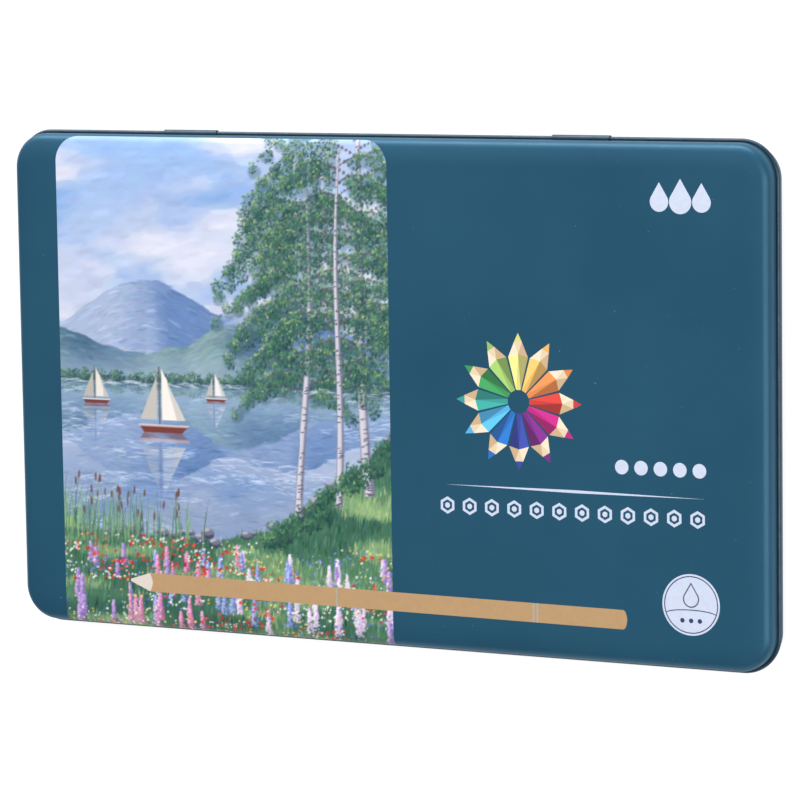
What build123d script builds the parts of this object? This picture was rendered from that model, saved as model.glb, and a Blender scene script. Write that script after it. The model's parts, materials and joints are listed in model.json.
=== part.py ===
from build123d import *
import math
import os

# Hinged tinplate box with twelve wood-cased watercolor pencils in a formed plastic tray.
# Millimetres. The tin lies shut on its bottom: X runs along the pencils, +Y points to the hinges, +Z up
# through the lid. The origin is at the middle of the bottom face.
# The pencils set the size of the tray, and the tray sets the size of the tin.

# Pencils
pencil_count = 12
pencil_flats = 6.9  # across the flats of the hexagon
pencil_corner_cut = 0.31  # off each side at the hexagon's six corners
pencil_length = 175.0
core_radius = 1.5
core_glue_gap = 0.01  # radial, between core and casing
point_half_angle = 10.5  # degrees, of the sharpened cone
point_blunt_radius = 0.35
tail_bevel = 0.9  # round the dipped end
turning_gap = 0.12  # of the turned form outside the hexagon's corners
turned_sides = 18  # flats that stand for each round of a pencil, so that the faces stay few

# Tray, formed from one plastic sheet
tray_sheet = 0.4
groove_gap = 0.1  # radial, pencil corner to groove
groove_pitch = 8.5  # from one groove to the next
groove_play = 0.5  # beyond each end of a pencil
groove_lift = 0.1  # grooves' underside above the tin's floor
ridge_drop = 1.2  # ridges' tops below the pencils' axis
border_rise = 2.6  # border's top above the pencils' axis
border_end = 1.8
border_side = 2.93
pocket_ledge = 0.5  # beyond the grooves' ends, at the ridges' height
border_bevel = 0.8
border_trim = 0.1  # border's cut edge above the bend of the tin's floor
pocket_corner = 2.0
dip_length = 40.0  # finger dip across the ridges
dip_depth = 1.8
dip_offset = 18.0  # from the middle, towards the pencils' tails

# Tin, drawn from one gauge of tinplate
tin_sheet = 0.22
headroom = 1.8  # above the pencils, under the lid
tray_gap = 0.23  # tray to the base's rolled rim
wall_gap = 0.25  # base wall to lid skirt
lid_corner = 7.8
lid_bend = 2.0
skirt_depth = 4.6  # from the lid's face to the centre of its bead
bead_radius = 0.5  # lid's edge, rolled outward
rim_radius = 0.5  # base's edge, rolled inward
base_bend = 2.5
roll_sweep = 290.0  # degrees that a rolled edge goes round
roll_chords = 7  # flats that stand for that curve, so that the faces stay few
bend_chords = 5  # flats that stand for a pan's bend

# Hinges, cut from the base's back wall and curled round the lid's bead
hinge_offset = 47.7  # each side of the middle
tongue_width = 13.4
tongue_slit = 0.3  # each side of a tongue, in the base's wall
tongue_ramp = 1.5  # height over which a tongue leaves the wall
tongue_end_angle = -60.0  # degrees, where the curl stops, from straight back
knuckle_gap = 0.05  # radial, bead to tongue
window_gap = 0.4  # each side of a tongue, in the lid's skirt
window_height = 1.0

# Sizes that follow from those
flat_half = pencil_flats / 2
pencil_radius = flat_half / math.cos(math.radians(30)) - pencil_corner_cut / 2
groove_radius = pencil_radius + groove_gap
axis_z = tin_sheet + groove_lift + tray_sheet + groove_radius
ridge_z = axis_z - ridge_drop
tray_top = axis_z + border_rise
groove_length = pencil_length + 2 * groove_play
pocket_length = groove_length + 2 * pocket_ledge
pocket_width = pencil_count * groove_pitch
tray_length = pocket_length + 2 * border_end
tray_width = pocket_width + 2 * border_side

rim_inset = 2 * rim_radius + tray_gap
base_length = tray_length + 2 * rim_inset
base_width = tray_width + 2 * rim_inset
skirt_inset = tin_sheet + wall_gap
lid_length = base_length + 2 * skirt_inset
lid_width = base_width + 2 * skirt_inset
base_corner = lid_corner - skirt_inset
tray_corner = base_corner - rim_inset
floor_bend = base_bend - tin_sheet  # inside radius between floor and wall
bend_reach = max(0, floor_bend - (rim_inset - tin_sheet))  # of the tray's border, into that bend
border_low = tin_sheet + floor_bend - math.sqrt(floor_bend**2 - bend_reach**2) + border_trim
height = axis_z + pencil_radius + headroom + tin_sheet
rim_z = height - lid_bend  # centre of the base's rolled rim
bead_z = height - skirt_depth  # centre of the lid's bead
bead_out = bead_radius - tin_sheet  # its centre, beyond the skirt's face
pivot_y = lid_width / 2 + bead_out


def round_points(centre, radius, start, sweep, chords):
    """Points along an arc, from an angle in degrees on through a sweep."""
    turns = [math.radians(start + sweep * step / chords) for step in range(chords + 1)]
    return [(centre[0] + radius * math.cos(turn), centre[1] + radius * math.sin(turn)) for turn in turns]


def carried_round(section, length, width, corner):
    """A section, drawn as (outward from a pan's wall, up), carried once round the pan."""
    pieces = []
    for turn in range(4):
        along, across = (width, length) if turn % 2 == 0 else (length, width)
        run = along - 2 * corner
        start, end = [
            Plane(origin=(across / 2, y, 0), x_dir=(1, 0, 0), z_dir=(0, -1, 0)) for y in (-run / 2, run / 2)
        ]
        straight = extrude(start * section, amount=run, dir=(0, 1, 0))
        centre = Axis((across / 2 - corner, run / 2, 0), (0, 0, 1))
        bend = revolve(end * section, axis=centre, revolution_arc=90)
        pieces += [Rot(0, 0, 90 * turn) * straight, Rot(0, 0, 90 * turn) * bend]
    return pieces


def rounded_block(length, width, corner, low, high):
    """A block with rounded upright corners, between two heights."""
    return Pos(0, 0, low) * extrude(RectangleRounded(length, width, corner), amount=high - low)


def pan(one_side, other_side, bend, low, length, width, corner):
    """A flat sheet with its bent wall, whose section is given as the points up its two sides."""
    section = make_face(Polyline(*one_side, *reversed(other_side), close=True))
    flat = rounded_block(length - 2 * bend, width - 2 * bend, corner - bend, low, low + tin_sheet)
    return flat.fuse(*carried_round(section, length, width, corner))


def hinge_places():
    return (-hinge_offset, hinge_offset)


def lid():
    """Drawn pan, face up, with an outward bead and a window in its back skirt for each hinge."""
    bend_centre, bead_centre = (-lid_bend, height - lid_bend), (bead_out, bead_z)
    outside = round_points(bend_centre, lid_bend, 90, -90, bend_chords)
    outside += round_points(bead_centre, bead_radius - tin_sheet, 180, roll_sweep, roll_chords)
    inside = round_points(bend_centre, lid_bend - tin_sheet, 90, -90, bend_chords)
    inside += round_points(bead_centre, bead_radius, 180, roll_sweep, roll_chords)
    shell = pan(outside, inside, lid_bend, height - tin_sheet, lid_length, lid_width, lid_corner)
    window = Rectangle(tongue_width + 2 * window_gap, window_height)
    for x in hinge_places():
        middle = (x, lid_width / 2, bead_z + window_height / 2)
        back = Plane(origin=middle, x_dir=(1, 0, 0), z_dir=(0, -1, 0))
        shell -= extrude(back * window, amount=2 * tin_sheet)
    return shell


def tongue_section():
    """A hinge tongue seen along the hinge line, as (outward, up) from the pivot."""
    inner = bead_radius + knuckle_gap
    outer = inner + tin_sheet
    wall_out = bead_radius + wall_gap
    outside = CenterArc((0, 0), outer, tongue_end_angle, 180 - tongue_end_angle)
    inside = CenterArc((0, 0), inner, tongue_end_angle, 180 - tongue_end_angle)
    foot = [inside @ 1, (-wall_out, -tongue_ramp), (-wall_out - tin_sheet, -tongue_ramp), outside @ 1]
    return make_face([outside, Line(outside @ 0, inside @ 0), inside, Polyline(*foot)])


def base_tin():
    """Drawn pan with an inward rolled rim. Two tongues of its back wall curl round the lid's bead."""
    bend_centre, rim_centre = (-base_bend, base_bend), (-rim_radius, rim_z)
    outside = round_points(bend_centre, base_bend, -90, 90, bend_chords)
    outside += round_points(rim_centre, rim_radius, 0, roll_sweep, roll_chords)
    inside = round_points(bend_centre, base_bend - tin_sheet, -90, 90, bend_chords)
    inside += round_points(rim_centre, rim_radius - tin_sheet, 0, roll_sweep, roll_chords)
    shell = pan(outside, inside, base_bend, 0, base_length, base_width, base_corner)
    ramp_z = bead_z - tongue_ramp
    slot_width = tongue_width + 2 * tongue_slit
    slot_height = rim_z + 2 * rim_radius - ramp_z
    for x in hinge_places():
        slot = Pos(x, base_width / 2, ramp_z) * Box(
            slot_width, 6 * rim_radius, slot_height, align=(Align.CENTER, Align.CENTER, Align.MIN)
        )
        start = Plane(origin=(x - tongue_width / 2, pivot_y, bead_z), x_dir=(0, 1, 0), z_dir=(1, 0, 0))
        shell = shell - slot + extrude(start * tongue_section(), amount=tongue_width)
    return shell


def pencil_ys():
    return [(index - (pencil_count - 1) / 2) * groove_pitch for index in range(pencil_count)]


def cross_plane(x):
    """Plane square to the pencils: its first axis runs along +Y and its second along +Z."""
    return Plane(origin=(x, 0, 0), x_dir=(0, 1, 0), z_dir=(1, 0, 0))


def tray_form(inset, low):
    """The tray's upper face as a block. Drawn in by an inset, it is the hollow under the sheet."""
    length, width = tray_length - 2 * inset, tray_width - 2 * inset
    block = rounded_block(length, width, tray_corner - inset, low, tray_top - inset)
    bevel = border_bevel - inset * (2 - math.sqrt(2))  # keeps the sheet as thick across the bevel
    block = chamfer(block.edges().group_by(Axis.Z)[-1], bevel)
    pocket = RectangleRounded(pocket_length + 2 * inset, pocket_width + 2 * inset, pocket_corner + inset)
    block -= Pos(0, 0, ridge_z - inset) * extrude(pocket, amount=tray_top)
    half_length = groove_length / 2 + inset
    half_chord = math.sqrt((groove_radius + inset) ** 2 - (ridge_drop + inset) ** 2)
    lowest = -groove_radius - inset
    chord_z = -ridge_drop - inset
    arc = ThreePointArc((-half_chord, chord_z), (0, lowest), (half_chord, chord_z))
    groove = make_face([arc, Line(arc @ 1, arc @ 0)])
    for y in pencil_ys():
        block -= Pos(0, y, axis_z) * extrude(cross_plane(-half_length) * groove, amount=2 * half_length)
    dip_radius = (dip_length**2 / 4 + dip_depth**2) / (2 * dip_depth)
    dip = Cylinder(dip_radius + inset, pocket_width + 2 * inset, rotation=(90, 0, 0))
    return block - Pos(dip_offset, 0, ridge_z - dip_depth + dip_radius) * dip


def pencil_tray():
    """Vacuum-formed sheet of one thickness, open underneath, its grooves lying on the tin's floor."""
    sheet = tray_form(0, -tray_top) - tray_form(tray_sheet, -2 * tray_top)
    inset = 3 * tray_sheet
    around = rounded_block(tray_length, tray_width, tray_corner, -tray_top, border_low)
    within = rounded_block(
        tray_length - inset, tray_width - inset, tray_corner - inset / 2, -tray_top, border_low
    )
    return sheet - (around - within)


def turned(stations):
    """Solid of flat sides about the X axis, through stations given as (x, radius)."""
    rings = []
    for x, radius in stations:
        rings.append([(x, y, z) for y, z in round_points((0, 0), radius, 0, 360, turned_sides)[:-1]])
    faces = [Face(Wire.make_polygon(ring)) for ring in (rings[0], rings[-1])]
    for low, high in zip(rings, rings[1:]):
        for side in range(turned_sides):
            corners = [low[side - 1], low[side], high[side], high[side - 1]]
            faces.append(Face(Wire.make_polygon(corners)))
    return Solid(Shell(faces))


def sharpened():
    """What a pencil is cut to: its point at -X, its bevelled end at +X."""
    outer_radius = pencil_radius + turning_gap
    tip, tail = -pencil_length / 2, pencil_length / 2
    cone = (outer_radius - point_blunt_radius) / math.tan(math.radians(point_half_angle))
    point = [(tip, point_blunt_radius), (tip + cone, outer_radius)]
    return turned(point + [(tail - tail_bevel, outer_radius), (tail, outer_radius - tail_bevel)])


def long_rod(radius):
    """A core's rod, or its bore, running out past both ends of a pencil."""
    return turned([(-pencil_length, radius), (pencil_length, radius)])


def pencil_casing():
    """Hexagonal wood casing with a flat on top, sharpened at one end, with a bore for its core."""
    hexagon = RegularPolygon(flat_half, 6, major_radius=False)
    hexagon = chamfer(hexagon.vertices(), pencil_corner_cut)
    stick = extrude(cross_plane(-pencil_length / 2) * hexagon, amount=pencil_length)
    return (stick & sharpened()) - long_rod(core_radius + core_glue_gap)


def pencil_core():
    """Watercolor core: a rod cut to the same point as its casing."""
    return long_rod(core_radius) & sharpened()


def write(name, shape):
    export_step(shape, os.path.join("parts", name + ".step"))


def main():
    os.makedirs("parts", exist_ok=True)
    write("lid", lid())
    write("base_tin", base_tin())
    write("pencil_tray", pencil_tray())
    casing, core = pencil_casing(), pencil_core()
    for number, y in enumerate(reversed(pencil_ys()), start=1):
        place = Pos(0, y, axis_z)
        write(f"pencil_{number:02d}_casing", place * casing)
        write(f"pencil_{number:02d}_core", place * core)


main()
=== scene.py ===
import json
from math import cos, hypot, pi, radians, sin, sqrt, tan

import bmesh
import bpy
import numpy as np
from mathutils import Matrix, Vector


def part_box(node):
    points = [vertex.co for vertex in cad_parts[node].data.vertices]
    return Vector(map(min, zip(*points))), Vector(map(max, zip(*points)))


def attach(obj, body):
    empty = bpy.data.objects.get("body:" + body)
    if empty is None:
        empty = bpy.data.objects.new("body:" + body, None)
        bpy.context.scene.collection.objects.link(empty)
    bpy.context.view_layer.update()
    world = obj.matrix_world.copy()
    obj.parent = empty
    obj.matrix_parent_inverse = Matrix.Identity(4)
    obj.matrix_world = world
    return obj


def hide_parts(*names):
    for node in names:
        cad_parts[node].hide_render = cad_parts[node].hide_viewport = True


# Looks of a hinged tin of twelve watercolor pencils. Lengths are in millimetres, in the CAD frame: X along
# the pencils, +Y to the hinges, +Z up through the lid. MM turns them into the scene's metres.
MM = 0.001

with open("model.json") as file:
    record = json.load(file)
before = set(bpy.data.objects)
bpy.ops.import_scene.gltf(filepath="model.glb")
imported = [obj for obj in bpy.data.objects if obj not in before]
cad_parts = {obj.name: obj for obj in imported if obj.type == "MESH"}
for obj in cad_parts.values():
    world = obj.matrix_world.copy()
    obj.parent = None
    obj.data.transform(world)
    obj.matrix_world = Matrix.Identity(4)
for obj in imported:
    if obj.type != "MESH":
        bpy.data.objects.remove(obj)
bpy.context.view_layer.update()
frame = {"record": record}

# Tin, the same sizes as the solids
SHEET = 0.22
LID_LENGTH, LID_WIDTH = 184.0, 111.26
BASE_LENGTH, BASE_WIDTH = 183.06, 110.32
LID_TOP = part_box("lid")[1].z / MM
LID_CORNER = 7.8
BASE_CORNER = 7.33
LID_BEND = 2.0
BASE_BEND = 2.5
CROWN = 4.0  # strip over which the lid's face falls towards its bend, as a pressed sheet does
CROWN_SLOPE = 8.5  # degrees, where it meets the bend
SOLID_BEAD_RADIUS = 0.5
BEAD_RADIUS = 0.484  # as drawn, inside the box of the solid's bead, which is made of flats
BEAD_Z = LID_TOP - 4.6
BEAD_OUT = SOLID_BEAD_RADIUS - SHEET
RIM_RADIUS = 0.5
RIM_Z = LID_TOP - LID_BEND
ROLL_SWEEP = 290.0

# Hinges
HINGES = (-47.7, 47.7)
TONGUE_WIDTH = 13.4
TONGUE_SLIT = 0.3
TONGUE_RAMP = 1.5
TONGUE_END_ANGLE = -60.0
TONGUE_INNER = 0.54
WINDOW_GAP = 0.4
WINDOW_HEIGHT = 1.0
PIVOT_Y = LID_WIDTH / 2 + BEAD_OUT

# Pencils
PENCILS = 12
FLAT_HALF = 3.45
CORNER_ROUND = 1.0
PENCIL_TIP, PENCIL_TAIL = -87.5, 87.5
PENCIL_ENDS = 24  # left out of the long straight part of a casing's mesh, at each end
CORE_RADIUS = 1.5
CORE_BORE = CORE_RADIUS + 0.01
BLUNT_RADIUS = 0.35
POINT_SLOPE = tan(radians(10.5))
SHARPENED_WANDER = 0.05  # of the edge between wood and lacquer
TAIL_BEVEL = 0.9
TAIL_START = 0.12  # beyond the corners, so that the bevel begins on them

# Steps of the meshes
CORNER_STEPS = 28
BEND_STEPS = 14
CROWN_STEPS = 10
ROLL_STEPS = 30
TAIL_STEPS = 6
EASE = 0.35  # a strip beside each bend, so that the flats stay evenly shaded
STRAIGHT = 0.999  # outward direction of a straight wall, against a corner's

# Places of a sheet's finishes among its materials
FACE, BACK, EDGE = 0, 1, 2

# The inks stand on the lacquer by a hair, so the lid's face is drawn that much low
INK = 0.012
FACE_Z = LID_TOP - 3 * INK

# Picture panel on the lid: it runs over the front bend and down the skirt
PANEL_LEFT, PANEL_RIGHT = -80.5, 3.4
PANEL_INSET = 0.45  # its upper edge, in from the lid's back
PANEL_CORNER = 6.0
CELLS = 8  # of the painting, to a millimetre
PICTURE_PITCH = 0.262  # of the mesh that carries its colours

# Prints on the lid: places of their middles, or of the first of a row
DROPS = ((67.4, 44.2, 6.2), (72.2, 44.4, 7.4), (77.0, 44.2, 6.2))  # x, y and height
STAR_X, STAR_Y = 34.4, -0.3
DOTS_X, DOTS_Y, DOTS_PITCH, DOT_RADIUS = 58.4, -13.2, 4.45, 1.55
TAPERED_LINE = ((16.5, -19.0), (47, -19.36), (77.5, -19.1), (47, -18.72))
ENDS_X, ENDS_Y, ENDS_PITCH = 17.1, -23.55, 5.33
END_OUTER, END_INNER, END_CORE = 1.9, 1.25, 0.6
BADGE_X, BADGE_Y, BADGE_RADIUS = 74.12, -41.74, 6.57
DRAWN_PENCIL_Y, DRAWN_PENCIL_LEAN = -45.6, -0.0062

# Inks, as screen colours
INKS = {
    "white_ink": (206, 215, 236), "navy_ink": (52, 66, 104), "tan_ink": (187, 152, 111),
    "pale_wood_ink": (224, 212, 204), "band_ink": (176, 170, 160),
}

# Finishes: most of a noise lies between its low and high, and these are finer than the colour's
NOISE_LOW, NOISE_HIGH = 0.3, 0.7
ROUGHNESS_FINENESS = 2.3
RELIEF_FINENESS = 4.0

# Camera, in metres, as fitted to the photograph
EYE = (0.402126, 0.103885, 0.781373)
AIM = (0.0059083, -0.0011067, 0.010498)
UPWARD = (-0.041846, 0.992635, -0.113687)
FOCAL_LENGTH, SENSOR_WIDTH = 180.91, 36.0

# Lamps that face the tin: place, width and height in metres, and power in watts
LAMPS = {
    "key_light": ((-0.75, 0.75, 1.25), 1.2, 0.8, 6),
    "back_light": ((-0.4, 1.35, 0.4), 1.6, 0.6, 30),
    "side_light": ((0.95, -0.12, 1.1), 0.8, 1.6, 17),
    "front_light": ((-0.4, -1.3, 0.45), 1.6, 0.6, 4),
}
WORLD_LIGHT = 0.17
FLOOR_HALF, FLOOR_GREY, FLOOR_GLOW = 6, 0.45, 0.7


def linear(levels):
    """Linear light of 8-bit screen levels."""
    part = np.clip(np.asarray(levels, dtype=float) / 255, 0, 1)
    return np.where(part <= 0.04045, part / 12.92, ((part + 0.055) / 1.055) ** 2.4)


def srgb(*levels):
    """Opaque linear colour of an 8-bit screen colour."""
    return (*linear(levels).tolist(), 1.0)


def blend(first, second, part):
    return np.asarray(first) * (1 - part) + np.asarray(second) * part


def arc(centre, radius, start, sweep, steps):
    """Points along an arc, angles in degrees."""
    turns = [radians(start + sweep * step / steps) for step in range(steps + 1)]
    return [(centre[0] + radius * cos(turn), centre[1] + radius * sin(turn)) for turn in turns]


def lid_face(inset):
    """The lid's section from the flat of its face to the end of its bend, as (outward from the wall, up)."""
    slope = radians(CROWN_SLOPE)
    fall = CROWN * tan(slope) / 2
    centre = (-LID_BEND, FACE_Z - fall - LID_BEND * cos(slope))
    bend = arc(centre, LID_BEND - inset, 90 - CROWN_SLOPE, CROWN_SLOPE - 90, BEND_STEPS)
    start_x, start_z = bend[0]
    parts = [step / CROWN_STEPS for step in range(CROWN_STEPS)]
    return [(start_x - CROWN * (1 - part), start_z + fall * (1 - part**2)) for part in parts] + bend


def add_object(name, data):
    thing = bpy.data.objects.new(name, data)
    bpy.context.scene.collection.objects.link(thing)
    return thing


def make_object(name, vertices, faces, materials, face_materials=None, sharp=40):
    """Mesh object from points in millimetres, with its normals facing out."""
    mesh = bpy.data.meshes.new(name)
    mesh.from_pydata([tuple(float(c) * MM for c in v) for v in vertices], [], faces)
    for material in materials:
        mesh.materials.append(material)
    if face_materials is not None:
        mesh.polygons.foreach_set("material_index", face_materials)
    work = bmesh.new()
    work.from_mesh(mesh)
    bmesh.ops.delete(work, geom=[v for v in work.verts if not v.link_faces], context="VERTS")
    bmesh.ops.recalc_face_normals(work, faces=work.faces)
    work.to_mesh(mesh)
    work.free()
    mesh.shade_smooth()
    mesh.set_sharp_from_angle(angle=radians(sharp))
    return add_object(name, mesh)


def place(thing, body, slot, *nodes):
    """Ties a piece to its body and hides the nodes that it stands for. The slot of its finish is not used."""
    if nodes:
        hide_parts(*nodes)
    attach(thing, body)


# Materials

def new_material(name):
    material = bpy.data.materials.new(name)
    material.use_nodes = True
    tree = material.node_tree
    return material, tree, tree.nodes["Principled BSDF"]


def put(socket, value):
    """Links an input to another node's output, or sets its value."""
    if isinstance(value, bpy.types.NodeSocket):
        socket.node.id_data.links.new(value, socket)
    else:
        socket.default_value = value


def fill(node, **inputs):
    """Puts a node's inputs. Their names have _ for a space."""
    for name, value in inputs.items():
        put(node.inputs[name.replace("_", " ")], value)
    return node


def add_node(tree, kind, **inputs):
    return fill(tree.nodes.new("ShaderNode" + kind), **inputs)


def noise(tree, scale, stretch=(1, 1, 1), detail=5.0):
    """Noise over the object's own coordinates, its scale in features to a metre."""
    where = add_node(tree, "TexCoord").outputs["Object"]
    mapping = add_node(tree, "Mapping", Vector=where, Scale=stretch)
    texture = add_node(tree, "TexNoise", Vector=mapping.outputs["Vector"], Scale=scale, Detail=detail)
    return texture.outputs["Fac"]


def ramp(tree, value, start, first, end, second):
    """One colour up to a value, another from a higher value on, and a blend between them."""
    node = add_node(tree, "ValToRGB", Fac=value)
    for element, at, colour in zip(node.color_ramp.elements, (start, end), (first, second)):
        element.position = at
        element.color = colour
    return node.outputs["Color"]


def mix(tree, way, **inputs):
    """Colours A and B, mixed in one of the ways of blending."""
    node = add_node(tree, "Mix")
    node.data_type = "RGBA"
    node.blend_type = way
    return fill(node, **inputs).outputs["Result"]


def spread(tree, value, low, high):
    """A noise's middle range turned into a range of levels."""
    node = add_node(tree, "MapRange", Value=value, From_Min=NOISE_LOW, From_Max=NOISE_HIGH)
    return fill(node, To_Min=low, To_Max=high).outputs["Result"]


def relief(tree, value, depth):
    """Bump of a depth in millimetres."""
    return add_node(tree, "Bump", Strength=1.0, Distance=depth * MM, Height=value).outputs["Normal"]


def finish(name, dark, light, scale, rough, stretch=(1, 1, 1), metallic=0.0, depth=0.0, coat=0.0):
    """A surface that varies between two colours and two roughnesses, with a fine relief."""
    material, tree, shader = new_material(name)
    tones = noise(tree, scale, stretch)
    colour = ramp(tree, tones, NOISE_LOW, srgb(*dark), NOISE_HIGH, srgb(*light))
    wear = noise(tree, scale * ROUGHNESS_FINENESS, stretch)
    fill(shader, Base_Color=colour, Roughness=spread(tree, wear, *rough), Metallic=metallic, IOR=1.45)
    if depth:
        grain = noise(tree, scale * RELIEF_FINENESS, stretch, 3.0)
        fill(shader, Normal=relief(tree, grain, depth))
    if coat:
        fill(shader, Coat_Weight=coat, Coat_Roughness=0.12)
    return material


def lacquer():
    """Teal lacquer, a little see-through to the metal: faint clouds, orange peel and specks of dust."""
    clouds, dust, wear, orange_peel = 26, 1500, 160, 700  # features to a metre
    material, tree, shader = new_material("teal_lacquer")
    cloudy = noise(tree, clouds, detail=7.0)
    teal = ramp(tree, cloudy, NOISE_LOW, srgb(31, 80, 107), NOISE_HIGH, srgb(36, 88, 114))
    specks = ramp(tree, noise(tree, dust, detail=1.0), 0.80, srgb(0, 0, 0), 0.84, srgb(255, 255, 255))
    fill(shader, Base_Color=mix(tree, "MIX", A=teal, B=srgb(120, 150, 165), Factor=specks))
    fill(shader, Roughness=spread(tree, noise(tree, wear), 0.42, 0.46), Metallic=0.3, IOR=1.38)
    fill(shader, Normal=relief(tree, noise(tree, orange_peel, detail=2.0), 0.0012))
    return material


def painted_ink():
    """Printed picture, whose colours ride on the mesh, under a fine grain of dots."""
    grain, wear = 4200, 160  # features to a metre
    dark, light = (0.93, 0.93, 0.94, 1), (1, 1, 1, 1)
    material, tree, shader = new_material("picture_ink")
    paint = add_node(tree, "Attribute")
    paint.attribute_name = "paint"
    dots = ramp(tree, noise(tree, grain, detail=2.0), NOISE_LOW, dark, NOISE_HIGH, light)
    printed = mix(tree, "MULTIPLY", A=paint.outputs["Color"], B=dots, Factor=1.0)
    fill(shader, Base_Color=printed, Roughness=spread(tree, noise(tree, wear), 0.46, 0.52), IOR=1.38)
    return material


def ink(name, colour):
    darker = [level * 0.97 for level in colour]
    return finish(name, darker, colour, 900, (0.32, 0.42))


# Sheet pans

def wall_stations(length, width, corner, stops):
    """Points round a pan's wall and their outward directions, from the right side's front end on."""
    places = []
    for quarter, (side_x, side_y) in enumerate([(1, -1), (1, 1), (-1, 1), (-1, -1)]):
        centre = (side_x * (length / 2 - corner), side_y * (width / 2 - corner))
        for out in arc((0, 0), 1, -90 + 90 * quarter, 90, CORNER_STEPS):
            places.append(((centre[0] + corner * out[0], centre[1] + corner * out[1]), out))
        if quarter == 1:
            places += [((x, width / 2), (0.0, 1.0)) for x in sorted(stops, reverse=True)]
    return places


def sheet_pan(name, outside, inside, stations, is_cut, materials, roll_row):
    """Closed sheet from the points up its two faces, carried round the stations, with windows cut."""
    rows, count = len(outside), len(stations)
    vertices = []
    for side in (outside, inside):
        for (x, y), (out_x, out_y) in stations:
            vertices += [(x + out * out_x, y + out * out_y, z) for out, z in side]

    def at(side, station, row):
        return side * count * rows + (station % count) * rows + row

    def kept(station, row):
        ends = stations[station % count], stations[(station + 1) % count]
        return 0 <= row < rows - 1 and not is_cut(*ends, row)

    def strip(start, end):
        """The sheet's thickness, along an edge."""
        return [at(0, *start), at(0, *end), at(1, *end), at(1, *start)]

    faces = [[at(side, station, 0) for station in range(count)] for side in (0, 1)]
    finishes = [FACE, BACK]
    for here in range(count):
        for row in range(rows - 1):
            if not kept(here, row):
                continue
            low, low_on = (here, row), (here + 1, row)
            high, high_on = (here, row + 1), (here + 1, row + 1)
            added = [[at(side, *corner) for corner in (low, low_on, high_on, high)] for side in (0, 1)]
            finishes += [FACE, EDGE if row >= roll_row else BACK]
            if not kept(here, row + 1):
                added.append(strip(high, high_on))
            if row and not kept(here, row - 1):
                added.append(strip(low, low_on))
            if not kept(here - 1, row):
                added.append(strip(low, high))
            if not kept(here + 1, row):
                added.append(strip(low_on, high_on))
            finishes += [EDGE] * (len(added) - 2)
            faces += added
    return make_object(name, vertices, faces, materials, finishes)


def in_hinge(station, onward, half):
    """Whether a strip of the back wall lies within a hinge's width."""
    middle = (station[0][0] + onward[0][0]) / 2
    straight = station[1][1] > STRAIGHT and onward[1][1] > STRAIGHT
    return straight and any(abs(middle - hinge) < half for hinge in HINGES)


def hinge_stops(half):
    return [x + side * half for x in HINGES for side in (-1, 1)]


def build_lid(materials):
    sides = []
    for inset, roll in ((0, BEAD_RADIUS - SHEET), (SHEET, BEAD_RADIUS)):
        side = lid_face(inset)
        side.insert(0, (side[0][0] - EASE, side[0][1]))
        side += [(-inset, z) for z in (side[-1][1] - EASE, BEAD_Z + WINDOW_HEIGHT, BEAD_Z + EASE)]
        side += arc((BEAD_RADIUS - SHEET, BEAD_Z), roll, 180, ROLL_SWEEP, ROLL_STEPS)
        sides.append(side)
    half = TONGUE_WIDTH / 2 + WINDOW_GAP
    stations = wall_stations(LID_LENGTH, LID_WIDTH, LID_CORNER, hinge_stops(half))
    window_row = 1 + CROWN_STEPS + BEND_STEPS + 2  # the first row of the skirt that a window takes
    roll_row = window_row + 2

    def is_cut(station, onward, row):
        return window_row <= row < roll_row and in_hinge(station, onward, half)

    thing = sheet_pan("tin_lid", *sides, stations, is_cut, materials, roll_row)
    place(thing, "lid", "lid_enamel", "lid")


def build_base(materials):
    ramp_z = BEAD_Z - TONGUE_RAMP
    sides = []
    for inset, roll in ((0, RIM_RADIUS), (SHEET, RIM_RADIUS - SHEET)):
        side = [(-BASE_BEND - 2 * EASE, inset), (-BASE_BEND - EASE, inset)]
        side += arc((-BASE_BEND, BASE_BEND), BASE_BEND - inset, -90, 90, BEND_STEPS)
        side += [(-inset, ramp_z), (-inset, RIM_Z - EASE)]
        side += arc((-RIM_RADIUS, RIM_Z), roll, 0, ROLL_SWEEP, ROLL_STEPS)
        sides.append(side)
    half = TONGUE_WIDTH / 2 + TONGUE_SLIT
    stations = wall_stations(BASE_LENGTH, BASE_WIDTH, BASE_CORNER, hinge_stops(half))
    slot_row = 2 + BEND_STEPS + 1

    def is_cut(station, onward, row):
        return row >= slot_row and in_hinge(station, onward, half)

    no_roll = len(sides[0])  # the rim's back keeps the finish of the inside
    thing = sheet_pan("tin_base", *sides, stations, is_cut, materials, no_roll)
    place(thing, "base", "base_enamel", "base_tin")
    for number, x in enumerate(HINGES, start=1):
        build_tongue(f"hinge_tongue_{number}", x, materials)


def build_tongue(name, x, materials):
    """A hinge tongue of the base's back wall, curled round the lid's bead. Its bare inner side faces out."""
    wall = BASE_WIDTH / 2 - PIVOT_Y
    sides = []
    for radius, face in ((TONGUE_INNER, wall), (TONGUE_INNER + SHEET, wall - SHEET)):
        side = arc((0, 0), radius, TONGUE_END_ANGLE, 180 - TONGUE_END_ANGLE, ROLL_STEPS)
        sides.append(side + [(face, -TONGUE_RAMP)])
    section = sides[0] + sides[1][::-1]
    count, half = len(section), len(sides[0])
    vertices = []
    for end in (-TONGUE_WIDTH / 2, TONGUE_WIDTH / 2):
        vertices += [(x + end, PIVOT_Y + out, BEAD_Z + up) for out, up in section]
    faces = [[row, (row + 1) % count, count + (row + 1) % count, count + row] for row in range(count)]
    finishes = [FACE] * half + [EDGE] * (count - half)
    for first in (0, count):
        for row in range(half - 1):
            faces.append([first + row, first + row + 1, first + count - 2 - row, first + count - 1 - row])
            finishes.append(EDGE)
    place(make_object(name, vertices, faces, materials, finishes), "base", "base_enamel")


# Pencils

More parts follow.
